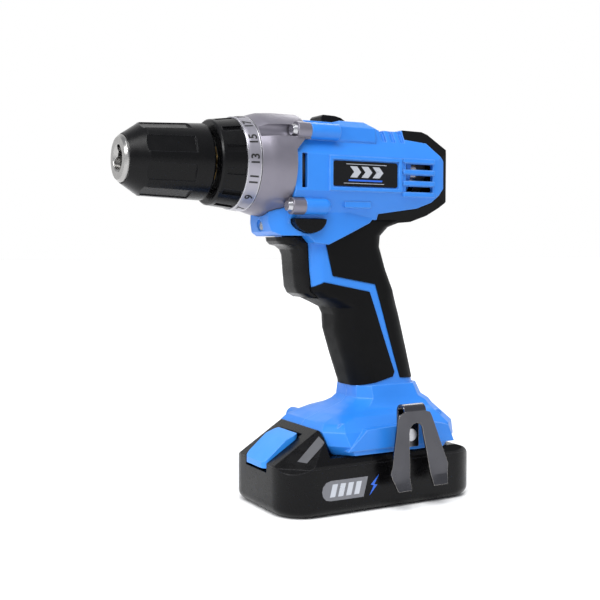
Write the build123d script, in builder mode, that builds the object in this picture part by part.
from build123d import *
import math
import os

# A two-speed cordless drill-driver with a slide-on battery pack, in millimetres.
# It points along -X and stands on its battery: +Z is up, and the user's left is -Y.
# The origin is the centre of the battery's base face.

os.makedirs("parts", exist_ok=True)

# ------------------------------------------------------------------ driving dimensions

AXIS_Z = 187.0  # height of the spindle's axis
PLAY = 0.3  # gap between pieces that pass each other
RUNNING_PLAY = 0.06  # radial gap of a shaft in its hole

# chuck
CHUCK_FACE_X = -139.9
CHUCK_REAR_X = -96.0
NOSE_RADIUS = 12.0
CHUCK_BODY_RADIUS = 14.5
MOUTH_RADIUS = 5.3
JAW_RADIUS = 3.6
JAW_TILT = 13.0  # degrees from the spindle's axis
JAW_TIP_X = -136.0
JAW_TIP_OFFSET = 4.0  # jaw axis to spindle axis, at the tip
JAW_LENGTH = 27.0
BIT_RADIUS = 3.25  # the jaws stand open for a 6.5 mm bit
JAW_CLOSING = 2.0  # radial travel of a jaw from rest to closed
SLEEVE_FRONT_X = -137.6
SLEEVE_SHOULDER_X = -129.0
SLEEVE_REAR_X = -94.5
SLEEVE_FRONT_RADIUS = 18.5
SLEEVE_REAR_RADIUS = 20.0
SLEEVE_BORE = 16.4
NUT_SPAN = (-120.0, -113.0)
NUT_BORE = 13.3
FLUTES = 8
FLUTE_SPAN = (-130.5, -104.5)
FLUTE_WIDTH = 9.0
FLUTE_DEPTH = 1.0

# torque ring, clutch and gearbox
COLLAR_SPAN = (-92.0, -79.0)
COLLAR_RADII = (22.4, 24.0)
COLLAR_BORE = 19.2
COLLAR_KEY_RADIUS = 20.5
COLLAR_GROOVES = 12
COLLAR_GROOVE_START = -89.5
COLLAR_GROOVE_WIDTH = 3.4
COLLAR_GROOVE_DEPTH = 1.2
RING_SPAN = (-79.0, -71.3)
RING_RADII = (24.2, 25.2)
RING_BORE = 21.3
COVER_FRONT_X = -71.0
COVER_BEVEL_X = -64.5
COVER_RADIUS = 27.8
COVER_BORE = 22.2
COVER_MOUTH = 18.6
CASE_RADIUS = 21.5
CASE_BORE = 20.4
CASE_SPAN = (-62.8, -16.0)
CASE_WALL_X = -59.4
NOSE_TUBE_RADIUS = 13.0
NOSE_TUBE_BORE = 9.2
NOSE_TUBE_FRONT_X = -88.0
SPINDLE_RADIUS = 6.0
THREAD_RADIUS = 4.76  # 3/8 inch chuck thread
CLUTCH_BALLS = 6
CLUTCH_BALL_CIRCLE = 18.0
CLUTCH_SPRING_RADIUS = 16.4
CLUTCH_SPRING_SPAN = (-76.9, -64.3)

# planetary stages: a sun of 12, three planets of 18 and a ring of 48 teeth give 5 to 1 each
MODULE = 0.75
SUN_TEETH = 12
PLANET_TEETH = 18
RING_TEETH = 48
PLANETS = 3
PLANET_CIRCLE = MODULE * (SUN_TEETH + PLANET_TEETH) / 2
PIN_RADIUS = 2.0
STAGE_1 = (-39.5, -29.5)  # rear stage, driven by the motor
STAGE_2 = (-55.7, -45.7)  # front stage, turning the spindle
CARRIER_SPAN = (-44.5, -40.7)
FLANGE_SPAN = (-61.6, -57.0)
CARRIER_RADIUS = 14.0
RING_OUTER = 20.2

# motor
MOTOR_RADIUS = 17.8
MOTOR_SPAN = (-14.0, 30.0)
END_CAP_SPAN = (30.0, 36.0)
ROTOR_SPAN = (-8.0, 22.0)
ROTOR_RADIUS = 12.0
SHAFT_RADIUS = 1.6
FAN_SPAN = (36.6, 40.6)
FAN_RADIUS = 12.6
FAN_BLADES = 9

# housing: side outlines are (x, z), cross-sections (y, z), plans (x, y)
HEAD_FRONT_X = -51.8
HEAD_PROFILE = [
    (-51.8, 155.5), (-51.8, 210.6), (0, 210.2), (5, 207.6), (19.5, 207.4), (21.5, 208.6), (35, 208.4),
    (38.5, 207), (48, 198.5), (51.3, 193.5), (51.3, 174.5), (49, 170), (43, 165), (36, 160.6), (26, 157),
    (8, 155.5),
]
HEAD_SECTION = [
    (-17, 155), (17, 155), (25, 172.5), (25, 192),
    (14, 211.5), (-14, 211.5), (-25, 192), (-25, 172.5),
]
HEAD_PLAN = [
    (-51.8, -26), (37, -26), (47.5, -22.5), (51.6, -16),
    (51.6, 16), (47.5, 22.5), (37, 26), (-51.8, 26),
]
CAVITY_PROFILE = [
    (-54, 163), (-54, 208), (0, 207.8), (4, 205.1), (36, 205.1), (46, 196.5), (48.4, 192.5),
    (48.4, 177), (44, 170.5), (35.5, 165.5), (24, 163.5),
]
CAVITY_SECTION = [
    (-17, 163), (17, 163), (22.3, 174), (22.3, 191),
    (12.5, 208.5), (-12.5, 208.5), (-22.3, 191), (-22.3, 174),
]
CAVITY_PLAN = [(-54, -23), (36, -23), (45, -19.8), (48.7, -14), (48.7, 14), (45, 19.8), (36, 23), (-54, 23)]
NECK_PROFILE = [
    (-60, 172), (-61, 156), (-59.5, 151), (-55, 148.8), (-41, 148.8),
    (-37.5, 145), (-28.8, 144), (-2, 156), (3, 161), (3, 172),
]
NECK_PLAN = [
    (-61.5, -10), (-58, -13.5), (-50, -17.5), (-46, -20), (-16, -20), (3, -18.5),
    (3, 18.5), (-16, 20), (-46, 20), (-50, 17.5), (-58, 13.5), (-61.5, 10),
]
# height, front x, rear x, half width and corner radius of the grip's level sections
HANDLE_SECTIONS = [
    (58.0, -4.8, 37.0, 16.6, 12.0),
    (66.0, -6.2, 34.6, 16.0, 12.0),
    (83.0, -12.2, 30.3, 16.0, 12.0),
    (97.0, -16.5, 26.4, 16.2, 12.0),
    (105.0, -16.8, 24.0, 16.5, 12.0),
    (109.0, -18.8, 22.7, 16.5, 12.0),
    (112.0, -25.0, 21.6, 16.5, 11.5),
    (115.0, -31.5, 20.3, 16.5, 10.5),
    (118.5, -35.5, 18.7, 16.5, 9.0),
    (130.0, -36.6, 13.2, 16.6, 8.0),
    (143.0, -37.2, 8.6, 17.0, 8.0),
    (149.0, -38.0, 9.0, 17.3, 8.0),
    (154.0, -39.0, 14.0, 17.6, 8.0),
    (158.0, -40.0, 25.5, 17.8, 8.0),
    (163.0, -41.0, 33.0, 18.0, 8.0),
]
# height, front x, rear x, half width and corner cut of the foot's level sections
FOOT_SECTIONS = [
    (31.0, -30.0, 46.0, 35.5, 9.0),
    (36.0, -33.5, 50.5, 36.0, 9.0),
    (43.2, -35.2, 51.5, 33.0, 9.0),
    (46.8, -32.5, 48.5, 29.0, 8.0),
    (50.2, -23.5, 46.0, 25.5, 8.0),
    (52.5, -14.5, 44.8, 21.5, 7.5),
    (55.0, -8.5, 43.5, 19.5, 7.0),
    (58.0, -5.5, 39.0, 18.0, 7.0),
    (65.0, -4.9, 35.5, 16.4, 6.0),
]
GRIP_PROUD = 0.5
GRIP_DEPTH = 1.8
SHELL_WALL = 3.2
FRONT_GRIP = [
    (-50, 119.5), (-37, 119.8), (-29.5, 123.5), (-0.5, 117.8), (16.8, 72), (15.7, 69.4),
    (4, 66.6), (-9.5, 64.2), (-30, 64.5), (-50, 100),
]
REAR_GRIP = [
    (-28.8, 144), (-2, 156), (3, 161), (45, 161), (45, 67), (20.7, 68.5),
    (3.3, 122), (-24.3, 127),
]
BUMPER = [
    (22, 216), (21, 203), (35.5, 201.5), (45, 191.5), (45, 176), (37, 168),
    (28, 164.5), (3, 161), (3, 150), (60, 150), (60, 216),
]
COVER_ZONE = [(-75, 140), (-52, 140), (-52, 193.5), (-46, 199.5), (-42.5, 199.5), (-42.5, 220), (-75, 220)]
SEAM = 0.2

# the four screws that hold the gear cover: side offset, height, cover ear and housing tube
UPPER_EAR = (22.0, 204.0, -50.5, -42.7, -25.0)
LOWER_EAR = (22.0, 164.3, -53.3, -45.9, -33.5)
EAR_RADIUS = 4.5

# the screws that join the housing's halves: (x, z), pillar half length and head seat
SCREW_PLACES = [(-20, 154), (16, 165.9), (5.5, 108), (15.4, 80), (-25, 44.5), (40, 47)]
SCREW_REACH = [18.5, 20.0, 15.0, 15.0, 28.0, 26.0]
SCREW_SEATS = [14, 14, 10, 10, 20, 20]
SCREW_BORE = 3.2
PILLAR_RADIUS = 3.2
PILLAR_SLEEVE = 4.6  # around the screwdriver bore
SLOT_PITCH = 6.25  # of the rear air slots

# trigger, switches and lamp
TRIGGER_SECTIONS = [  # height and front x
    (115.2, -36.5), (117.5, -40.5), (121, -42.4), (129.5, -43.3), (138.5, -44),
    (141.5, -45.3), (143.4, -48), (144.2, -51.4), (146, -53.3), (148.2, -53.7),
]
TRIGGER_REAR_X = -31.0
TRIGGER_HALF_WIDTH = 11.0
TRIGGER_ROUND = 6.0
SWITCH_FRONT_X = -23.0
LEVER_TOP = 157.6
LEVER_CENTRE_X = -41.2
LEVER_RADIUS = 9.6
LEVER_DEPTH = 7.4
LEVER_HALF_LENGTH = 22.5
SELECTOR_SPAN = (-26.0, -7.0)
SELECTOR_FLOOR = 209.8
SELECTOR_TRAVEL = 5.0
LAMP_Z = 154.3
LAMP_RADIUS = 2.4
LAMP_FRONT_X = -59.4

# battery pack
PACK_LENGTH = 126.0
PACK_WIDTH = 72.0
PACK_CORNER = 18.0
PACK_SEAM_Z = 26.0
PACK_DECK_Z = 30.7
PACK_TOP_Z = 43.8
PACK_FRONT_Z = 27.0  # where the sloped front starts
PACK_SHOULDER_X = -35.9  # rear face of the raised front
RAIL_HALF_WIDTH = 20.0
RAIL_TOP_Z = 39.0
RAIL_END_X = 41.0
CELL_RADIUS = 9.0
CELL_Z = 13.3
CELL_LENGTH = 65.0
CELL_PITCH = 19.0
BUTTON_HALF_WIDTH = 12.0

# belt clip
CLIP_THICKNESS = 1.2
CLIP_FACE_Y = -44.4
CLIP_BACK_Y = -36.6
CLIP_SCREW = (12.3, 40.0)
CLIP_FOLD_Z = 53.6
CLIP_FOLD_SPAN = (4.5, 18.5)
CLIP_OUTLINE = [
    (0.4, 50.2), (1.6, 52.4), (4.5, 53.6), (18.5, 53.6), (21.2, 52.8), (22.6, 50.4), (33.8, 23), (33.4, 17),
    (32.5, 12), (23.4, 12), (16.8, 42), (16.2, 45), (14.6, 46.9), (12.2, 47.5), (9.8, 46.9), (8.2, 45),
    (7.6, 42), (8.3, 11), (-0.4, 11), (-4.4, 21), (-3.2, 24.5),
]

SPIN_AXIS = Axis((0, 0, AXIS_Z), (1, 0, 0))
TURNING_PLANE = Plane(origin=(0, 0, AXIS_Z), x_dir=(1, 0, 0), z_dir=(0, -1, 0))  # sketches are (x, radius)


def across(x):
    """A plane square to the spindle at x, with sketches in (y, height above the axis)."""
    return Plane(origin=(x, 0, AXIS_Z), x_dir=(0, 1, 0), z_dir=(1, 0, 0))


def finish(piece, name):
    """Label a finished piece and write it to its own file."""
    piece.part.label = name
    export_step(piece.part, f"parts/{name}.step")


def turned(outline):
    """A solid of revolution about the spindle from an outline of (x, radius) points."""
    with BuildPart() as solid:
        with BuildSketch(TURNING_PLANE):
            Polygon(*outline, align=None)
        revolve(axis=SPIN_AXIS)
    return solid.part


def tube(start, end, outer, inner=0.0):
    """A plain tube or bar about the spindle, between two x positions."""
    with BuildPart() as solid:
        with BuildSketch(across(start)):
            Circle(outer)
            if inner:
                Circle(inner, mode=Mode.SUBTRACT)
        extrude(amount=end - start)
    return solid.part


def side_prism(outline, half_width):
    """A side outline of (x, z) points, extruded the same way to both sides."""
    with BuildPart() as solid:
        with BuildSketch(Plane.XZ):
            Polygon(*outline, align=None)
        extrude(amount=half_width, both=True)
    return solid.part


def block(x_span, y_span, z_span):
    """A box given by its spans along X, Y and Z."""
    with BuildPart() as solid:
        with BuildSketch(Plane.XY.offset(z_span[0])):
            with Locations((sum(x_span) / 2, sum(y_span) / 2)):
                Rectangle(x_span[1] - x_span[0], y_span[1] - y_span[0])
        extrude(amount=z_span[1] - z_span[0])
    return solid.part


def crossbar(x, z, radius, y_span):
    """A round bar along Y."""
    with BuildPart() as solid:
        with BuildSketch(Plane(origin=(x, y_span[0], z), x_dir=(1, 0, 0), z_dir=(0, 1, 0))):
            Circle(radius)
        extrude(amount=y_span[1] - y_span[0])
    return solid.part


def longbar(y, z, radius, x_span):
    """A round bar along X, away from the spindle."""
    with BuildPart() as solid:
        with BuildSketch(Plane(origin=(x_span[0], y, z), x_dir=(0, 1, 0), z_dir=(1, 0, 0))):
            Circle(radius)
        extrude(amount=x_span[1] - x_span[0])
    return solid.part


def cone_plane(angle, start, end):
    """A plane lying on a cone between two (x, radius) points, X along its side and Z outwards."""
    turn = math.radians(angle)
    out = Vector(0, -math.sin(turn), math.cos(turn))
    slope = math.atan2(end[1] - start[1], end[0] - start[0])
    along = Vector(math.cos(slope), 0, 0) + out * math.sin(slope)
    normal = out * math.cos(slope) - Vector(math.sin(slope), 0, 0)
    return Plane(origin=Vector(start[0], 0, AXIS_Z) + out * start[1], x_dir=along, z_dir=normal)


def coil(x_span, radius, wire, turns, height):
    """A compression spring along X: a round wire swept on a helix."""
    length = x_span[1] - x_span[0] - wire
    with BuildPart() as solid:
        with BuildLine():
            path = Helix(
                pitch=length / turns, height=length, radius=radius,
                center=(x_span[0] + wire / 2, 0, height), direction=(1, 0, 0),
            )
        with BuildSketch(Plane(origin=path @ 0, z_dir=path % 0)):
            Circle(wire / 2)
        sweep(path=path)
    return solid.part


# ------------------------------------------------------------------ gears

# half of a tooth's angle, in tooth pitches, at its root, at the pitch circle and at its tip
TOOTH_SHAPE = (0.36, 0.205, 0.09)
ADDENDUM = 0.8 * MODULE
DEDENDUM = 1.15 * MODULE


def gear_outline(teeth, phase, internal=False):
    """A gear's outline of flat-flanked teeth, one tooth centred on the phase angle in degrees."""
    pitch_radius = MODULE * teeth / 2
    outward = -1 if internal else 1
    radii = (pitch_radius - outward * DEDENDUM, pitch_radius, pitch_radius + outward * ADDENDUM)
    step = 360 / teeth
    corners = []
    for tooth in range(teeth):
        middle = phase + tooth * step
        flank = list(zip(radii, TOOTH_SHAPE))
        for radius, share in flank:
            corners.append((radius, middle - share * step))
        for radius, share in reversed(flank):
            corners.append((radius, middle + share * step))
    return [(r * math.cos(math.radians(a)), r * math.sin(math.radians(a))) for r, a in corners]


def gear(span, teeth, phase, bore=0.0, centre=(0.0, 0.0)):
    """An external spur gear along the spindle's direction."""
    with BuildPart() as solid:
        with BuildSketch(across(span[0])):
            with Locations(centre):
                Polygon(*gear_outline(teeth, phase), align=None)
                if bore:
                    Circle(bore, mode=Mode.SUBTRACT)
        extrude(amount=span[1] - span[0])
    return solid.part


def planet_centre(index):
    """Where a planet's axis stands around the spindle, as (y, height above the axis)."""
    angle = math.radians(360 / PLANETS * index)
    return (PLANET_CIRCLE * math.cos(angle), PLANET_CIRCLE * math.sin(angle))


def planet_pins(start, end):
    """The pins that a carrier's planets turn on."""
    with BuildPart() as pins:
        with BuildSketch(across(start)):
            for index in range(PLANETS):
                with Locations(planet_centre(index)):
                    Circle(PIN_RADIUS)
        extrude(amount=end - start)
    return pins.part


for stage, span in ((1, STAGE_1), (2, STAGE_2)):
    for index in range(PLANETS):
        half_tooth = 180 / PLANET_TEETH  # a gap faces both the sun and the ring
        with BuildPart() as planet:
            add(gear(
                span,
                PLANET_TEETH,
                360 / PLANETS * index + half_tooth,
                PIN_RADIUS + RUNNING_PLAY,
                planet_centre(index),
            ))
        finish(planet, f"planet_{stage}_{index + 1}")

with BuildPart() as ring_space:
    with BuildSketch(across(-70)):
        Polygon(*gear_outline(RING_TEETH, 0, internal=True), align=None)
    extrude(amount=60)

with BuildPart() as clutch_ring_gear:
    add(tube(CASE_WALL_X + 0.4, STAGE_2[1] + 0.7, RING_OUTER))
    add(ring_space.part, mode=Mode.SUBTRACT)
finish(clutch_ring_gear, "clutch_ring_gear")

with BuildPart() as shift_ring_gear:
    add(tube(STAGE_1[0], STAGE_1[1], RING_OUTER))
    add(ring_space.part, mode=Mode.SUBTRACT)
finish(shift_ring_gear, "shift_ring_gear")

with BuildPart() as carrier:
    add(tube(CARRIER_SPAN[0], CARRIER_SPAN[1], CARRIER_RADIUS))
    add(gear((STAGE_2[0], CARRIER_SPAN[0]), SUN_TEETH, 0))
    add(planet_pins(CARRIER_SPAN[1], STAGE_1[1] + 1))
finish(carrier, "planet_carrier")

with BuildPart() as spindle:
    add(tube(FLANGE_SPAN[0], FLANGE_SPAN[1], CARRIER_RADIUS))
    add(tube(-89.5, FLANGE_SPAN[0], SPINDLE_RADIUS))
    add(tube(-104, -89.5, THREAD_RADIUS - 0.05))
    add(planet_pins(FLANGE_SPAN[1], STAGE_2[1] + 0.5))
finish(spindle, "spindle")

# ------------------------------------------------------------------ chuck


def jaw_frame(index):
    """A plane at a jaw's tip, with its normal along the jaw towards the rear and X pointing outwards."""
    angle = math.radians(90 + 120 * index)
    out = Vector(0, math.cos(angle), math.sin(angle))
    tilt = math.radians(JAW_TILT)
    along = Vector(1, 0, 0) * math.cos(tilt) + out * math.sin(tilt)
    tip = Vector(JAW_TIP_X, 0, AXIS_Z) + out * JAW_TIP_OFFSET
    return Plane(origin=tip, x_dir=out * math.cos(tilt) - Vector(1, 0, 0) * math.sin(tilt), z_dir=along), out


def jaw_bar(index, radius, start, end):
    """A round bar on a jaw's axis, between two distances behind its tip."""
    frame, _ = jaw_frame(index)
    with BuildPart() as bar:
        with BuildSketch(frame.offset(start)):
            Circle(radius)
        extrude(amount=end - start)
    return bar.part


def jaw_wedge(index):
    """The third of the bore that one jaw may fill, so that the three close without touching."""
    _, out = jaw_frame(index)
    side = Vector(1, 0, 0).cross(out)
    apex = JAW_CLOSING + 0.12
    reach = 14.0
    corners = [(apex, 0), (apex + reach * 0.5, reach * 0.866), (reach * 2, reach * 0.866),
               (reach * 2, -reach * 0.866), (apex + reach * 0.5, -reach * 0.866)]
    with BuildPart() as wedge:
        with BuildSketch(Plane(origin=(-150, 0, AXIS_Z), x_dir=out, z_dir=(1, 0, 0))):
            Polygon(*corners, align=None)
        extrude(amount=70)
    return wedge.part


for index in range(3):
    with BuildPart() as jaw:
        add(jaw_bar(index, JAW_RADIUS, -3, JAW_LENGTH))
        add(jaw_wedge(index), mode=Mode.INTERSECT)
        add(tube(-160, JAW_TIP_X, 30), mode=Mode.SUBTRACT)
        add(turned([(-160, 0), (-100, 0), (-100, BIT_RADIUS), (-160, BIT_RADIUS)]), mode=Mode.SUBTRACT)
    finish(jaw, f"jaw_{index + 1}")

with BuildPart() as chuck_body:
    add(turned([
        (CHUCK_FACE_X + 1.8, MOUTH_RADIUS), (CHUCK_FACE_X, MOUTH_RADIUS + 1.8),
        (CHUCK_FACE_X, NOSE_RADIUS - 1.2),
        (CHUCK_FACE_X + 1.2, NOSE_RADIUS), (-130, NOSE_RADIUS), (-126.5, CHUCK_BODY_RADIUS),
        (NUT_SPAN[0] - 0.4, CHUCK_BODY_RADIUS), (NUT_SPAN[0] - 0.4, NUT_BORE - 0.5),
        (NUT_SPAN[1] + 0.4, NUT_BORE - 0.5), (NUT_SPAN[1] + 0.4, CHUCK_BODY_RADIUS),
        (CHUCK_REAR_X - 1, CHUCK_BODY_RADIUS), (CHUCK_REAR_X, CHUCK_BODY_RADIUS - 1),
        (CHUCK_REAR_X, THREAD_RADIUS), (-104.5, THREAD_RADIUS), (-104.5, MOUTH_RADIUS),
    ]))
    for index in range(3):
        add(jaw_bar(index, JAW_RADIUS + RUNNING_PLAY, -14, JAW_LENGTH + 12), mode=Mode.SUBTRACT)
finish(chuck_body, "chuck_body")

with BuildPart() as jaw_nut:
    add(tube(NUT_SPAN[0], NUT_SPAN[1], SLEEVE_BORE, NUT_BORE))
finish(jaw_nut, "jaw_nut")

with BuildPart() as chuck_sleeve:
    add(turned([
        (SLEEVE_FRONT_X, NOSE_RADIUS + 0.1), (SLEEVE_FRONT_X, NOSE_RADIUS + 0.8),
        (SLEEVE_SHOULDER_X - 1.2, SLEEVE_FRONT_RADIUS - 0.9), (SLEEVE_SHOULDER_X, SLEEVE_FRONT_RADIUS),
        (SLEEVE_REAR_X - 1, SLEEVE_REAR_RADIUS), (SLEEVE_REAR_X, SLEEVE_REAR_RADIUS - 1),
        (SLEEVE_REAR_X, SLEEVE_BORE), (-125.5, SLEEVE_BORE), (-131, NOSE_RADIUS + 0.1),
    ]))
    # long shallow flats between raised ribs, for the fingers
    for index in range(FLUTES):
        side = cone_plane(
            360 / FLUTES * (index + 0.5),
            (SLEEVE_SHOULDER_X, SLEEVE_FRONT_RADIUS),
            (SLEEVE_REAR_X - 1, SLEEVE_REAR_RADIUS),
        )
        with BuildSketch(side.offset(-FLUTE_DEPTH)):
            with Locations((sum(FLUTE_SPAN) / 2 - SLEEVE_SHOULDER_X, 0)):
                Rectangle(FLUTE_SPAN[1] - FLUTE_SPAN[0], FLUTE_WIDTH)
        extrude(amount=5, mode=Mode.SUBTRACT)
finish(chuck_sleeve, "chuck_sleeve")

# ------------------------------------------------------------------ torque ring and clutch

with BuildPart() as torque_collar:
    add(turned([
        (COLLAR_SPAN[0], NOSE_TUBE_RADIUS + 2), (COLLAR_SPAN[0], COLLAR_RADII[0] - 0.8),
        (COLLAR_SPAN[0] + 0.8, COLLAR_RADII[0]), (COLLAR_SPAN[1], COLLAR_RADII[1]),
        (COLLAR_SPAN[1], RING_BORE), (RING_SPAN[1], RING_BORE), (RING_SPAN[1], COLLAR_BORE),
        (COLLAR_SPAN[0] + 2, COLLAR_BORE), (COLLAR_SPAN[0] + 2, NOSE_TUBE_RADIUS + 2),
    ]))
    # grooves that leave raised pads for the fingers
    for index in range(COLLAR_GROOVES):
        side = cone_plane(
            360 / COLLAR_GROOVES * (index + 0.5),
            (COLLAR_SPAN[0] + 0.8, COLLAR_RADII[0]),
            (COLLAR_SPAN[1], COLLAR_RADII[1]),
        )
        start = COLLAR_GROOVE_START - COLLAR_SPAN[0] - 0.8
        with BuildSketch(side.offset(-COLLAR_GROOVE_DEPTH)):
            with Locations((start, 0)):
                Rectangle(
                    COLLAR_SPAN[1] - COLLAR_GROOVE_START + 0.1, COLLAR_GROOVE_WIDTH,
                    align=(Align.MIN, Align.CENTER),
                )
        extrude(amount=5, mode=Mode.SUBTRACT)
    # keyways for the clutch nut
    with BuildSketch(across(COLLAR_SPAN[0] + 2)):
        with PolarLocations(COLLAR_KEY_RADIUS - 1, 3):
            Rectangle(2, 4.6)
    extrude(amount=RING_SPAN[1] - COLLAR_SPAN[0] - 2, mode=Mode.SUBTRACT)
finish(torque_collar, "torque_collar")

with BuildPart() as number_ring:
    add(turned([
        (RING_SPAN[0], RING_BORE), (RING_SPAN[0], RING_RADII[0]), (RING_SPAN[0] + 0.6, RING_RADII[0] + 0.3),
        (RING_SPAN[1] - 0.6, RING_RADII[1]), (RING_SPAN[1], RING_RADII[1] - 0.3), (RING_SPAN[1], RING_BORE),
    ]))
finish(number_ring, "number_ring")

with BuildPart() as clutch_nut:
    with BuildSketch(across(-82)):
        Circle(COLLAR_BORE - PLAY)
        with PolarLocations(COLLAR_KEY_RADIUS - 1.3, 3):
            Rectangle(2, 4)
        Circle(NOSE_TUBE_RADIUS + 0.1, mode=Mode.SUBTRACT)
    extrude(amount=5)
finish(clutch_nut, "clutch_nut")

with BuildPart() as clutch_spring:
    add(coil(CLUTCH_SPRING_SPAN, CLUTCH_SPRING_RADIUS, 2.0, 3.5, AXIS_Z))
finish(clutch_spring, "clutch_spring")

with BuildPart() as clutch_washer:
    add(tube(-64.2, -63.05, CLUTCH_BALL_CIRCLE + 2.2, CLUTCH_BALL_CIRCLE - 2.5))
finish(clutch_washer, "clutch_washer")

with BuildPart() as clutch_balls:
    with BuildSketch(TURNING_PLANE):
        with Locations((-61, CLUTCH_BALL_CIRCLE)):
            Circle(1.95)
            Rectangle(10, 5, align=(Align.CENTER, Align.MAX), mode=Mode.SUBTRACT)
    revolve(axis=Axis((0, 0, AXIS_Z + CLUTCH_BALL_CIRCLE), (1, 0, 0)))
    ball = clutch_balls.part
with BuildPart() as clutch_ball_set:
    for index in range(CLUTCH_BALLS):
        add(ball.rotate(SPIN_AXIS, 360 / CLUTCH_BALLS * index))
finish(clutch_ball_set, "clutch_balls")

# ------------------------------------------------------------------ gearbox

with BuildPart() as gearbox_case:
    add(turned([
        (NOSE_TUBE_FRONT_X, NOSE_TUBE_BORE), (NOSE_TUBE_FRONT_X, NOSE_TUBE_RADIUS), (-63.4, NOSE_TUBE_RADIUS),
        (-63.4, 15.2), (CASE_SPAN[0], 15.2), (CASE_SPAN[0], CASE_RADIUS), (CASE_SPAN[1], CASE_RADIUS),
        (CASE_SPAN[1], 6), (-20, 6), (-20, CASE_BORE), (CASE_WALL_X, CASE_BORE),
        (CASE_WALL_X, CARRIER_RADIUS + 0.6), (FLANGE_SPAN[0] - 0.4, CARRIER_RADIUS + 0.6),
        (FLANGE_SPAN[0] - 0.4, NOSE_TUBE_BORE),
    ]))
    with BuildSketch(across(CASE_SPAN[0] - 1)):
        with PolarLocations(CLUTCH_BALL_CIRCLE, CLUTCH_BALLS, start_angle=90):
            Circle(2.05)
    extrude(amount=6, mode=Mode.SUBTRACT)
    # slot in the roof for the shift fork
    add(block((-42, -28), (-5, 5), (AXIS_Z + 15, AXIS_Z + 25)), mode=Mode.SUBTRACT)
finish(gearbox_case, "gearbox_case")

with BuildPart() as spindle_bearing:
    add(tube(-88, -82, NOSE_TUBE_BORE, SPINDLE_RADIUS + RUNNING_PLAY))
finish(spindle_bearing, "spindle_bearing")


def cover_form(grow=0.0):
    """The gear cover's outer form with its four screw ears."""
    with BuildPart() as form:
        add(turned([
            (COVER_FRONT_X - grow, 0), (COVER_FRONT_X - grow, 25.3 + grow),
            (COVER_BEVEL_X, 27.2 + grow), (-56, COVER_RADIUS + grow),
            (-42 + grow, COVER_RADIUS + grow), (-42 + grow, 0),
        ]))
        zone = [(x + grow, z) for x, z in COVER_ZONE]
        add(side_prism(zone, 40), mode=Mode.INTERSECT)
        for y, z, front, rear, _ in (UPPER_EAR, LOWER_EAR):
            for side in (-1, 1):
                add(longbar(side * y, z, EAR_RADIUS + grow, (front, rear + grow)))
    return form.part


with BuildPart() as gear_cover:
    add(cover_form())
    add(tube(-66, -20, COVER_BORE), mode=Mode.SUBTRACT)
    add(tube(-80, -60, COVER_MOUTH), mode=Mode.SUBTRACT)
    for y, z, front, rear, _ in (UPPER_EAR, LOWER_EAR):
        for side in (-1, 1):
            add(longbar(side * y, z, 1.7, (front - 5, rear + 1)), mode=Mode.SUBTRACT)
            # a flat pocket lets the screwdriver in past the cover's rim
            add(longbar(side * y, z, 4.2, (front - 20, front)), mode=Mode.SUBTRACT)
finish(gear_cover, "gear_cover")

with BuildPart() as gear_cover_screws:
    for y, z, front, rear, tail in (UPPER_EAR, LOWER_EAR):
        for side in (-1, 1):
            add(longbar(side * y, z, 1.6, (front - 0.2, tail - 3)))
            add(longbar(side * y, z, 3.2, (front - 2.4, front)))
            with BuildSketch(Plane(origin=(front - 2.4, side * y, z), x_dir=(0, 1, 0), z_dir=(1, 0, 0))):
                RegularPolygon(1.5, 6)
            extrude(amount=1.5, mode=Mode.SUBTRACT)
finish(gear_cover_screws, "gear_cover_screws")

# ------------------------------------------------------------------ motor

with BuildPart() as rotor_shaft:
    add(gear(STAGE_1, SUN_TEETH, 0))
    add(tube(STAGE_1[1], FAN_SPAN[1] + 0.5, SHAFT_RADIUS))
finish(rotor_shaft, "rotor_shaft")

with BuildPart() as rotor_core:
    add(tube(ROTOR_SPAN[0], ROTOR_SPAN[1], ROTOR_RADIUS, SHAFT_RADIUS))
    with BuildSketch(across(ROTOR_SPAN[0])):
        with PolarLocations(ROTOR_RADIUS - 2.5, 5, start_angle=36):
            Circle(2.6)
        with PolarLocations(ROTOR_RADIUS, 5, start_angle=36):
            Rectangle(3, 1.6)
    extrude(amount=ROTOR_SPAN[1] - ROTOR_SPAN[0], mode=Mode.SUBTRACT)
    add(tube(ROTOR_SPAN[1], 28.5, 5, SHAFT_RADIUS))
finish(rotor_core, "rotor_core")

with BuildPart() as cooling_fan:
    add(tube(FAN_SPAN[0], FAN_SPAN[1], 4.5, SHAFT_RADIUS))
    add(tube(FAN_SPAN[0], FAN_SPAN[0] + 1.2, FAN_RADIUS, SHAFT_RADIUS))
    with BuildSketch(across(FAN_SPAN[0])):
        with PolarLocations(8.2, FAN_BLADES):
            Rectangle(8.6, 1.2)
    extrude(amount=FAN_SPAN[1] - FAN_SPAN[0])
finish(cooling_fan, "cooling_fan")

with BuildPart() as motor_can:
    add(turned([
        (MOTOR_SPAN[0], 3), (MOTOR_SPAN[0], MOTOR_RADIUS - 1), (MOTOR_SPAN[0] + 1, MOTOR_RADIUS),
        (MOTOR_SPAN[1], MOTOR_RADIUS), (MOTOR_SPAN[1], MOTOR_RADIUS - 1.3),
        (MOTOR_SPAN[0] + 1.5, MOTOR_RADIUS - 1.3), (MOTOR_SPAN[0] + 1.5, 3),
    ]))
finish(motor_can, "motor_can")

with BuildPart() as motor_magnets:
    add(tube(ROTOR_SPAN[0], ROTOR_SPAN[1] + 2, MOTOR_RADIUS - 1.3, ROTOR_RADIUS + 0.5))
    add(block((-20, 40), (-30, 30), (AXIS_Z - 4, AXIS_Z + 4)), mode=Mode.SUBTRACT)
finish(motor_magnets, "motor_magnets")

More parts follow.
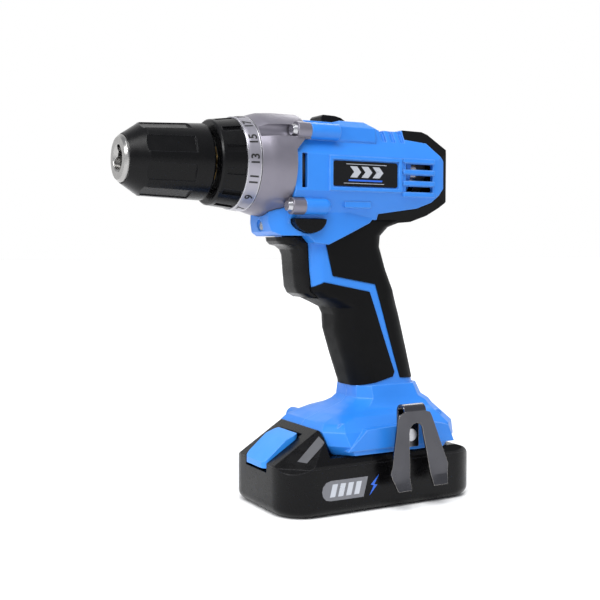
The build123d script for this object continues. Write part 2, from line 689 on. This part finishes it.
with BuildPart() as motor_end_cap:
    add(tube(END_CAP_SPAN[0], END_CAP_SPAN[1], MOTOR_RADIUS, SHAFT_RADIUS + 0.4))
    add(tube(END_CAP_SPAN[0], END_CAP_SPAN[1] - 2, MOTOR_RADIUS - 3, 6), mode=Mode.SUBTRACT)
finish(motor_end_cap, "motor_end_cap")

with BuildPart() as motor_brushes:
    for y_span in ((-12, -5.2), (5.2, 12)):
        add(block((24, 28), y_span, (AXIS_Z - 2.5, AXIS_Z + 2.5)))
finish(motor_brushes, "motor_brushes")

# ------------------------------------------------------------------ housing forms


def head_form():
    """The motor housing's outer form: an eight-sided section, tapered at the rear."""
    with BuildPart() as form:
        add(side_prism(HEAD_PROFILE, 30))
        with BuildSketch(Plane.YZ.offset(HEAD_FRONT_X)):
            Polygon(*HEAD_SECTION, align=None)
        extrude(amount=110, mode=Mode.INTERSECT)
        with BuildSketch(Plane.XY.offset(140)):
            Polygon(*HEAD_PLAN, align=None)
        extrude(amount=80, mode=Mode.INTERSECT)
    return form.part


def head_cavity():
    """The space inside the motor housing."""
    with BuildPart() as form:
        add(side_prism(CAVITY_PROFILE, 30))
        with BuildSketch(Plane.YZ.offset(HEAD_FRONT_X - 1)):
            Polygon(*CAVITY_SECTION, align=None)
        extrude(amount=110, mode=Mode.INTERSECT)
        with BuildSketch(Plane.XY.offset(140)):
            Polygon(*CAVITY_PLAN, align=None)
        extrude(amount=80, mode=Mode.INTERSECT)
    return form.part


def neck_form():
    """The nose under the gear cover and the neck that joins it to the handle."""
    with BuildPart() as form:
        add(side_prism(NECK_PROFILE, 30))
        with BuildSketch(Plane.XY.offset(130)):
            Polygon(*NECK_PLAN, align=None)
        extrude(amount=60, mode=Mode.INTERSECT)
    return form.part


def handle_form(grow=0.0):
    """The handle's outer form, grown or shrunk all round, as level sections joined by ruled faces."""
    with BuildPart() as form:
        for z, front, rear, half_width, corner in HANDLE_SECTIONS:
            with BuildSketch(Plane.XY.offset(z)):
                with Locations(((front + rear) / 2, 0)):
                    RectangleRounded(rear - front + 2 * grow, 2 * (half_width + grow), corner + grow)
        loft(ruled=True)
    return form.part


def foot_form():
    """The faceted foot that takes the battery."""
    with BuildPart() as form:
        for z, front, rear, half_width, cut in FOOT_SECTIONS:
            with BuildSketch(Plane.XY.offset(z)):
                Polygon(
                    (front, -half_width + cut), (front + cut, -half_width), (rear - cut, -half_width),
                    (rear, -half_width + cut), (rear, half_width - cut), (rear - cut, half_width),
                    (front + cut, half_width), (front, half_width - cut), align=None,
                )
        loft(ruled=True)
    return form.part


def shoulder_block(side):
    """The raised block along the housing's upper shoulder, behind a screw tube."""
    section = [(8, 198), (8, 211.2), (17, 211.2), (21.5, 207.5), (21.5, 200.3), (18.5, 196)]
    with BuildPart() as form:
        add(side_prism([(-25, 190), (-25, 206.5), (-20.7, 211.2), (-5, 211.2), (0.3, 207.5), (0.3, 190)], 30))
        with BuildSketch(Plane.YZ.offset(-30)):
            Polygon(*[(side * y, z) for y, z in section], align=None)
        extrude(amount=45, mode=Mode.INTERSECT)
    return form.part


def clip_pad(side):
    """The raised facet on the foot's side that the belt clip is screwed to."""
    with BuildPart() as form:
        with BuildSketch(Plane.XZ.offset(-side * 20)):
            Polygon((-26.5, 33.5), (-14, 44.5), (2, 45.2), (30, 45.2), (40, 43), (44, 33.5), align=None)
        extrude(amount=-side * 16.4)
    return form.part


# ------------------------------------------------------------------ trigger, switches and lamp

with BuildPart() as trigger:
    for z, front in TRIGGER_SECTIONS:
        with BuildSketch(Plane.XY.offset(z)):
            with Locations((front, 0)):
                RectangleRounded(
                    TRIGGER_REAR_X + 2 * TRIGGER_ROUND - front, 2 * TRIGGER_HALF_WIDTH, TRIGGER_ROUND,
                    align=(Align.MIN, Align.CENTER),
                )
    loft(ruled=True)
    add(block((TRIGGER_REAR_X, 0), (-20, 20), (100, 160)), mode=Mode.SUBTRACT)
    add(longbar(0, 134, 4.2, (-38, -30)), mode=Mode.SUBTRACT)
finish(trigger, "trigger")

with BuildPart() as trigger_spring:
    add(coil((-37.9, SWITCH_FRONT_X - 0.1), 3.2, 0.8, 5, 134))
finish(trigger_spring, "trigger_spring")

with BuildPart() as trigger_switch:
    add(block((SWITCH_FRONT_X, 4), (-9, 9), (118, 143)))
    add(block((-19, -1), (-7, 7), (143, 146)))
finish(trigger_switch, "trigger_switch")

with BuildPart() as heat_sink:
    add(block((-15, 3), (9, 11.5), (121, 140)))
    with BuildSketch(Plane.XY.offset(121)):
        with Locations((-6, 11)):
            with GridLocations(4, 1, 4, 1):
                Rectangle(1.6, 1.4)
    extrude(amount=19, mode=Mode.SUBTRACT)
finish(heat_sink, "heat_sink")

with BuildPart() as direction_lever:
    with BuildSketch(Plane.XZ):
        with Locations((LEVER_CENTRE_X, LEVER_TOP)):
            Ellipse(LEVER_RADIUS, LEVER_DEPTH)
            Rectangle(30, 30, align=(Align.CENTER, Align.MIN), mode=Mode.SUBTRACT)
    extrude(amount=LEVER_HALF_LENGTH, both=True)
finish(direction_lever, "direction_lever")

with BuildPart() as lamp_lens:
    add(longbar(0, LAMP_Z, LAMP_RADIUS, (LAMP_FRONT_X, -55)))
finish(lamp_lens, "lamp_lens")

with BuildPart() as speed_button:
    add(side_prism([
        (SELECTOR_SPAN[0], SELECTOR_FLOOR), (SELECTOR_SPAN[0] + 0.4, 214.4), (-24.5, 215.5), (-17, 215.3),
        (-13, 214.4), (-9, 212), (SELECTOR_SPAN[1], SELECTOR_FLOOR),
    ], 6.2))
finish(speed_button, "speed_button")

with BuildPart() as shift_fork:
    add(block((-36.5, -9), (-3.5, 3.5), (208.7, SELECTOR_FLOOR)))
    add(block((-36.5, -33), (-3.5, 3.5), (AXIS_Z + RING_OUTER, 208.7)))
finish(shift_fork, "shift_fork")

# ------------------------------------------------------------------ grips and bumper


def trigger_slot():
    """The opening in the handle's front that the trigger slides in."""
    half_width = TRIGGER_HALF_WIDTH + 0.4
    return block((-60, SWITCH_FRONT_X - 0.8), (-half_width, half_width), (114.8, 148.9))


def screw_bores():
    """The screwdriver's way in to the heads of the housing screws, from the right."""
    with BuildPart() as bores:
        for (x, z), seat in zip(SCREW_PLACES, SCREW_SEATS):
            add(crossbar(x, z, SCREW_BORE, (seat, 60)))
    return bores.part


with BuildPart() as grip_front:
    add(handle_form(GRIP_PROUD))
    add(handle_form(-GRIP_DEPTH), mode=Mode.SUBTRACT)
    add(side_prism(FRONT_GRIP, 30), mode=Mode.INTERSECT)
    add(trigger_slot(), mode=Mode.SUBTRACT)
    add(foot_form(), mode=Mode.SUBTRACT)
    add(screw_bores(), mode=Mode.SUBTRACT)
finish(grip_front, "grip_front")

with BuildPart() as grip_rear:
    add(handle_form(GRIP_PROUD))
    add(handle_form(-GRIP_DEPTH), mode=Mode.SUBTRACT)
    add(side_prism(REAR_GRIP, 30), mode=Mode.INTERSECT)
    add(head_form(), mode=Mode.SUBTRACT)
    add(neck_form(), mode=Mode.SUBTRACT)
    add(foot_form(), mode=Mode.SUBTRACT)
    add(screw_bores(), mode=Mode.SUBTRACT)
finish(grip_rear, "grip_rear")

with BuildPart() as rear_bumper:
    add(head_form())
    add(side_prism(BUMPER, 30), mode=Mode.INTERSECT)
    add(head_cavity(), mode=Mode.SUBTRACT)
    add(screw_bores(), mode=Mode.SUBTRACT)
finish(rear_bumper, "rear_bumper")

# ------------------------------------------------------------------ housing shells

def either_side(x_span, y_span, z_span):
    """A pair of boxes mirrored about the middle, given by the left one's distances from it."""
    near, far = y_span
    with BuildPart() as pair:
        add(block(x_span, (near, far), z_span))
        add(block(x_span, (-far, -near), z_span))
    return pair.part


with BuildPart() as shell:
    add(head_form())
    add(neck_form())
    add(handle_form())
    add(foot_form())
    for side in (-1, 1):
        add(shoulder_block(side))
        add(clip_pad(side))
        for (y, z, _, rear, tail) in (UPPER_EAR, LOWER_EAR):
            add(longbar(side * y, z, EAR_RADIUS - 0.1, (rear, tail)))
        with BuildSketch(Plane(origin=(LOWER_EAR[4], side * LOWER_EAR[0], LOWER_EAR[1]), x_dir=(1, 0, 0))):
            Circle(EAR_RADIUS - 0.1)
            Rectangle(20, 20, align=(Align.CENTER, Align.MIN), mode=Mode.SUBTRACT)
        revolve(axis=Axis((0, side * LOWER_EAR[0], LOWER_EAR[1]), (1, 0, 0)))
    # frame and field of the nameplate
    add(either_side((-31.5, 15), (22, 25.8), (172.8, 191.5)))
    add(either_side((-29.5, 13), (24.6, 30), (174.8, 189.5)), mode=Mode.SUBTRACT)
    add(either_side((-20.5, -3.8), (18, 23.2), (164, 167.3)))
    # four ribs frame the three rear air slots
    for rib in range(4):
        rib_z = 171.9 + SLOT_PITCH * rib
        add(either_side((15.7, 37), (22, 26.2), (rib_z - 1.2, rib_z + 1.2)))
    # cavities
    add(cover_form(SEAM), mode=Mode.SUBTRACT)
    add(head_cavity(), mode=Mode.SUBTRACT)
    add(tube(-70, -15, CASE_RADIUS + 0.1), mode=Mode.SUBTRACT)
    add(handle_form(-SHELL_WALL), mode=Mode.SUBTRACT)
    add(block((-57, -12), (-13, 13), (151.5, 170)), mode=Mode.SUBTRACT)
    add(block((-1, 33), (-12, 12), (38, 70)), mode=Mode.SUBTRACT)
    add(trigger_slot(), mode=Mode.SUBTRACT)
    # battery rails: a wide channel over two narrower lips
    rail_span = (-60, RAIL_END_X + 0.5)
    add(block(rail_span, (-RAIL_HALF_WIDTH - 0.5, RAIL_HALF_WIDTH + 0.5), (35, 39.6)), mode=Mode.SUBTRACT)
    add(block(rail_span, (-17, 17), (30, 36)), mode=Mode.SUBTRACT)
    add(block((RAIL_END_X, 46.7), (-17.6, 17.6), (33.4, 43.6)), mode=Mode.SUBTRACT)
    # openings
    with BuildSketch(Plane.XZ):
        with Locations((LEVER_CENTRE_X, LEVER_TOP + PLAY)):
            Ellipse(LEVER_RADIUS + PLAY, LEVER_DEPTH + 2 * PLAY)
            Rectangle(30, 30, align=(Align.CENTER, Align.MIN), mode=Mode.SUBTRACT)
    extrude(amount=40, both=True, mode=Mode.SUBTRACT)
    add(longbar(0, LAMP_Z, LAMP_RADIUS + 0.1, (LAMP_FRONT_X, -50)), mode=Mode.SUBTRACT)
    add(longbar(0, LAMP_Z, LAMP_RADIUS + 1, (-75, LAMP_FRONT_X)), mode=Mode.SUBTRACT)
    selector_slot = (SELECTOR_SPAN[0] - SELECTOR_TRAVEL - 1, SELECTOR_SPAN[1] + 1)
    add(block(selector_slot, (-6.6, 6.6), (SELECTOR_FLOOR - PLAY, 220)), mode=Mode.SUBTRACT)
    add(block((-43, -4), (-4, 4), (208, SELECTOR_FLOOR + 0.2)), mode=Mode.SUBTRACT)
    for slot in range(3):
        slot_z = 175 + SLOT_PITCH * slot
        add(block((18, 36.5), (-40, 40), (slot_z - 1.5, slot_z + 1.5)), mode=Mode.SUBTRACT)
        groove_x = 7 + 6 * slot
        add(block((groove_x - 1.5, groove_x + 1.5), (-16, 16), (206.3, 220)), mode=Mode.SUBTRACT)
        with BuildSketch(Plane.YZ.offset(groove_x - 1.5)):
            Polygon((18.3, 201), (30, 201), (30, 215), (15, 215), (15, 206.8), align=None)
            Polygon((-15, 206.8), (-15, 215), (-30, 215), (-30, 201), (-18.3, 201), align=None)
        extrude(amount=3, mode=Mode.SUBTRACT)
    add(block((-48, -44.8), (-40, 40), (174, 192)), mode=Mode.SUBTRACT)
    for y, z, _, _, tail in (UPPER_EAR, LOWER_EAR):
        for side in (-1, 1):
            add(longbar(side * y, z, 1.6, (-60, tail - 3)), mode=Mode.SUBTRACT)
    # ribs that hold the motor and the trigger switch
    for rib_x in (-6, 20):
        add(tube(rib_x, rib_x + 3, 22.6, MOTOR_RADIUS + 0.05))
    add(block((-12, -9), (-14, 14), (114, 118)))
    add(block((-12, -9), (-14, 14), (146, 149)))
    # screw pillars
    for (x, z), reach, seat in zip(SCREW_PLACES, SCREW_REACH, SCREW_SEATS):
        add(crossbar(x, z, PILLAR_RADIUS, (-reach, seat)))
        add(crossbar(x, z, PILLAR_SLEEVE, (seat - 2.5, reach)))
        add(crossbar(x, z, 1.5, (-seat, seat)), mode=Mode.SUBTRACT)
    add(screw_bores(), mode=Mode.SUBTRACT)
    for span in ((-36.5, -26), (26, 36.5)):
        add(crossbar(CLIP_SCREW[0], CLIP_SCREW[1], 2.8, span), mode=Mode.SUBTRACT)
    # pieces that are set into the shells
    add(grip_front.part, mode=Mode.SUBTRACT)
    add(grip_rear.part, mode=Mode.SUBTRACT)
    add(rear_bumper.part, mode=Mode.SUBTRACT)

for name, keep in (("housing_left", Keep.TOP), ("housing_right", Keep.BOTTOM)):
    with BuildPart() as half:
        add(shell.part)
        split(bisect_by=Plane.XZ, keep=keep)
    finish(half, name)

with BuildPart() as housing_screws:
    for (x, z), seat in zip(SCREW_PLACES, SCREW_SEATS):
        add(crossbar(x, z, 1.5, (-seat + 2, seat)))
        add(crossbar(x, z, 2.9, (seat, seat + 2.2)))
        with BuildSketch(Plane(origin=(x, seat + 2.2, z), x_dir=(1, 0, 0), z_dir=(0, 1, 0))):
            RegularPolygon(1.4, 6)
        extrude(amount=-1.4, mode=Mode.SUBTRACT)
finish(housing_screws, "housing_screws")

# ------------------------------------------------------------------ foot fittings

with BuildPart() as terminal_block:
    add(block((RAIL_END_X + 0.8, 46.6), (-17.5, 17.5), (33.5, 43.5)))
finish(terminal_block, "terminal_block")

BLADE_PLACES = (-12, -4, 4, 12)
with BuildPart() as terminal_blades:
    for y in BLADE_PLACES:
        add(block((27, RAIL_END_X + 0.8), (y - 0.4, y + 0.4), (33.6, 37.5)))
finish(terminal_blades, "terminal_blades")

with BuildPart() as clip_inserts:
    for span in ((-36.4, -26), (26, 36.4)):
        add(crossbar(CLIP_SCREW[0], CLIP_SCREW[1], 2.8, span))
        add(crossbar(CLIP_SCREW[0], CLIP_SCREW[1], 1.65, span), mode=Mode.SUBTRACT)
finish(clip_inserts, "clip_inserts")

with BuildPart() as belt_clip:
    # outer leaf: an arch with two legs whose ends bend away
    with BuildSketch(Plane.XZ.offset(40)):
        Polygon(*CLIP_OUTLINE, align=None)
    extrude(amount=10)
    with BuildSketch(Plane.YZ.offset(-20)):
        inner = CLIP_FACE_Y + CLIP_THICKNESS
        Polygon(
            (CLIP_FACE_Y, 60), (CLIP_FACE_Y, 18), (CLIP_FACE_Y - 2, 10),
            (inner - 2, 10), (inner, 18), (inner, 60), align=None,
        )
    extrude(amount=80, mode=Mode.INTERSECT)
    # fold over the top, and the leaf against the foot
    fold = (CLIP_BACK_Y - CLIP_FACE_Y) / 2
    with BuildSketch(Plane(origin=(CLIP_FOLD_SPAN[0], 0, CLIP_FOLD_Z), x_dir=(0, 1, 0), z_dir=(1, 0, 0))):
        with Locations(((CLIP_BACK_Y + CLIP_FACE_Y) / 2, 0)):
            Circle(fold)
            Circle(fold - CLIP_THICKNESS, mode=Mode.SUBTRACT)
            Rectangle(20, 20, align=(Align.CENTER, Align.MAX), mode=Mode.SUBTRACT)
    extrude(amount=CLIP_FOLD_SPAN[1] - CLIP_FOLD_SPAN[0])
    add(block(CLIP_FOLD_SPAN, (CLIP_BACK_Y - CLIP_THICKNESS, CLIP_BACK_Y), (33, CLIP_FOLD_Z)))
    add(crossbar(CLIP_SCREW[0], CLIP_SCREW[1], 2.1, (-40, -30)), mode=Mode.SUBTRACT)
finish(belt_clip, "belt_clip")

with BuildPart() as clip_screw:
    head_y = CLIP_BACK_Y - CLIP_THICKNESS
    add(crossbar(CLIP_SCREW[0], CLIP_SCREW[1], 1.6, (head_y, -27)))
    add(crossbar(CLIP_SCREW[0], CLIP_SCREW[1], 3.4, (head_y - 1.8, head_y)))
finish(clip_screw, "clip_screw")

# ------------------------------------------------------------------ battery pack


def pack_form(inset=0.0):
    """The pack's outer form: a rounded box cut to its side and end outlines."""
    with BuildPart() as form:
        with BuildSketch(Plane.XY.offset(inset)):
            RectangleRounded(PACK_LENGTH - 2 * inset, PACK_WIDTH - 2 * inset, PACK_CORNER - inset)
        extrude(amount=PACK_TOP_Z + 2)
        fillet(form.edges().group_by(Axis.Z)[0], 5.5)
        half = PACK_LENGTH / 2 - inset
        with BuildSketch(Plane.XZ):
            with BuildLine():
                # the sloped front keeps its thickness where the inside follows it
                crest = PACK_TOP_Z - 1.9 * inset
                Polyline(
                    (half - 9, 0), (-half, 0), (-half, PACK_FRONT_Z - 0.55 * inset),
                    (PACK_SHOULDER_X - 0.6 - inset, crest),
                    (PACK_SHOULDER_X - inset, crest), (PACK_SHOULDER_X - inset, PACK_DECK_Z - inset),
                    (47, PACK_DECK_Z - inset),
                )
                ThreePointArc((47, PACK_DECK_Z - inset), (half - 3.2, 22), (half, 12))
                ThreePointArc((half, 12), (half - 2.6, 4), (half - 9, 0))
            make_face()
        extrude(amount=PACK_WIDTH, both=True, mode=Mode.INTERSECT)
        with BuildSketch(Plane.YZ.offset(-80)):
            wide = PACK_WIDTH / 2 - inset
            Polygon(
                (-wide, 0), (wide, 0), (wide, 27.5), (wide - 11.5, 44), (11.5 - wide, 44), (-wide, 27.5),
                align=None,
            )
        extrude(amount=160, mode=Mode.INTERSECT)
        # broad bevels beside the sloped front
        slope = math.atan2(PACK_TOP_Z - PACK_FRONT_Z, PACK_SHOULDER_X - 0.6 + PACK_LENGTH / 2)
        along = Vector(math.cos(slope), 0, math.sin(slope))
        front = Vector(-PACK_LENGTH / 2, 0, PACK_FRONT_Z)
        with BuildSketch(Plane(origin=front - along * 40, x_dir=(0, 1, 0), z_dir=along)):
            edge = 21 - inset / 2
            Polygon(
                (-wide - 1, -110), (wide + 1, -110), (wide + 1, -9 - inset), (edge, -inset),
                (-edge, -inset), (-wide - 1, -9 - inset), align=None,
            )
        extrude(amount=200, mode=Mode.INTERSECT)
    return form.part


def button_recess():
    """The pocket in the pack's sloped front for the release button."""
    return side_prism([
        (-70, 22), (-58.8, 22), (-56.2, 25), (-43.6, 34.8), (-40.9, 38.9), (-40.9, 50), (-70, 50),
    ], BUTTON_HALF_WIDTH + 0.5)


with BuildPart() as pack_base:
    add(pack_form())
    add(pack_form(2.0), mode=Mode.SUBTRACT)
    add(block((-80, 80), (-50, 50), (PACK_SEAM_Z, 60)), mode=Mode.SUBTRACT)
    add(button_recess(), mode=Mode.SUBTRACT)
    PACK_SCREWS = [(-47, -25), (-47, 25), (47, -25), (47, 25)]
    with BuildSketch(Plane.XY):
        with Locations(*PACK_SCREWS):
            Circle(2.9)
    extrude(amount=1.2, mode=Mode.SUBTRACT)
    with BuildSketch(Plane.XY):
        with Locations(*PACK_SCREWS):
            Circle(1.5)
    extrude(amount=6, mode=Mode.SUBTRACT)
finish(pack_base, "battery_base")

with BuildPart() as pack_top:
    add(pack_form())
    add(pack_form(2.0), mode=Mode.SUBTRACT)
    add(block((-80, 80), (-50, 50), (-5, PACK_SEAM_Z)), mode=Mode.SUBTRACT)
    add(block((PACK_SHOULDER_X, RAIL_END_X), (-16.5, 16.5), (PACK_DECK_Z - 2, 35.5)))
    add(block((PACK_SHOULDER_X, RAIL_END_X), (-RAIL_HALF_WIDTH, RAIL_HALF_WIDTH), (35.4, RAIL_TOP_Z)))
    add(button_recess(), mode=Mode.SUBTRACT)
    for y in BLADE_PLACES:
        add(block((26, 50), (y - 1, y + 1), (33.2, 45)), mode=Mode.SUBTRACT)
finish(pack_top, "battery_top")

with BuildPart() as pack_screws:
    for x, y in PACK_SCREWS:
        with BuildSketch(Plane.XY.offset(0.3)):
            with Locations((x, y)):
                Circle(2.7)
                RegularPolygon(1.3, 6, mode=Mode.SUBTRACT)
        extrude(amount=0.9)
        with BuildSketch(Plane.XY.offset(1.2)):
            with Locations((x, y)):
                Circle(1.45)
        extrude(amount=4)
finish(pack_screws, "battery_screws")

with BuildPart() as battery_cells:
    for index in range(5):
        x = (index - 2) * CELL_PITCH
        add(crossbar(x, CELL_Z, CELL_RADIUS, (-CELL_LENGTH / 2, CELL_LENGTH / 2)))
finish(battery_cells, "battery_cells")

with BuildPart() as cell_holder:
    for side in (-1, 1):
        add(block((-49.5, 49.5), (side * 24 - 2, side * 24 + 2), (6, 22.4)))
    for index in range(5):
        add(crossbar((index - 2) * CELL_PITCH, CELL_Z, CELL_RADIUS, (-40, 40)), mode=Mode.SUBTRACT)
finish(cell_holder, "cell_holder")

with BuildPart() as battery_board:
    add(block((-30, 40), (-18, 18), (22.6, 24.2)))
    for y in BLADE_PLACES:
        add(block((22, 27.5), (y - 1.5, y + 1.5), (24.2, 28.2)))
finish(battery_board, "battery_board")

with BuildPart() as release_button:
    add(side_prism([
        (-64.3, 24), (-64.3, 27.2), (-62.6, 28.6), (-50.8, 38.6), (-43.4, 41.3), (-42.6, 40), (-45.5, 37),
        (-57.5, 27), (-60, 24),
    ], BUTTON_HALF_WIDTH))
    with BuildSketch(Plane.XY.offset(20)):
        with Locations((-53.4, 0)):
            RectangleRounded(21.8, 2 * BUTTON_HALF_WIDTH, 4)
    extrude(amount=30, mode=Mode.INTERSECT)
finish(release_button, "release_button")
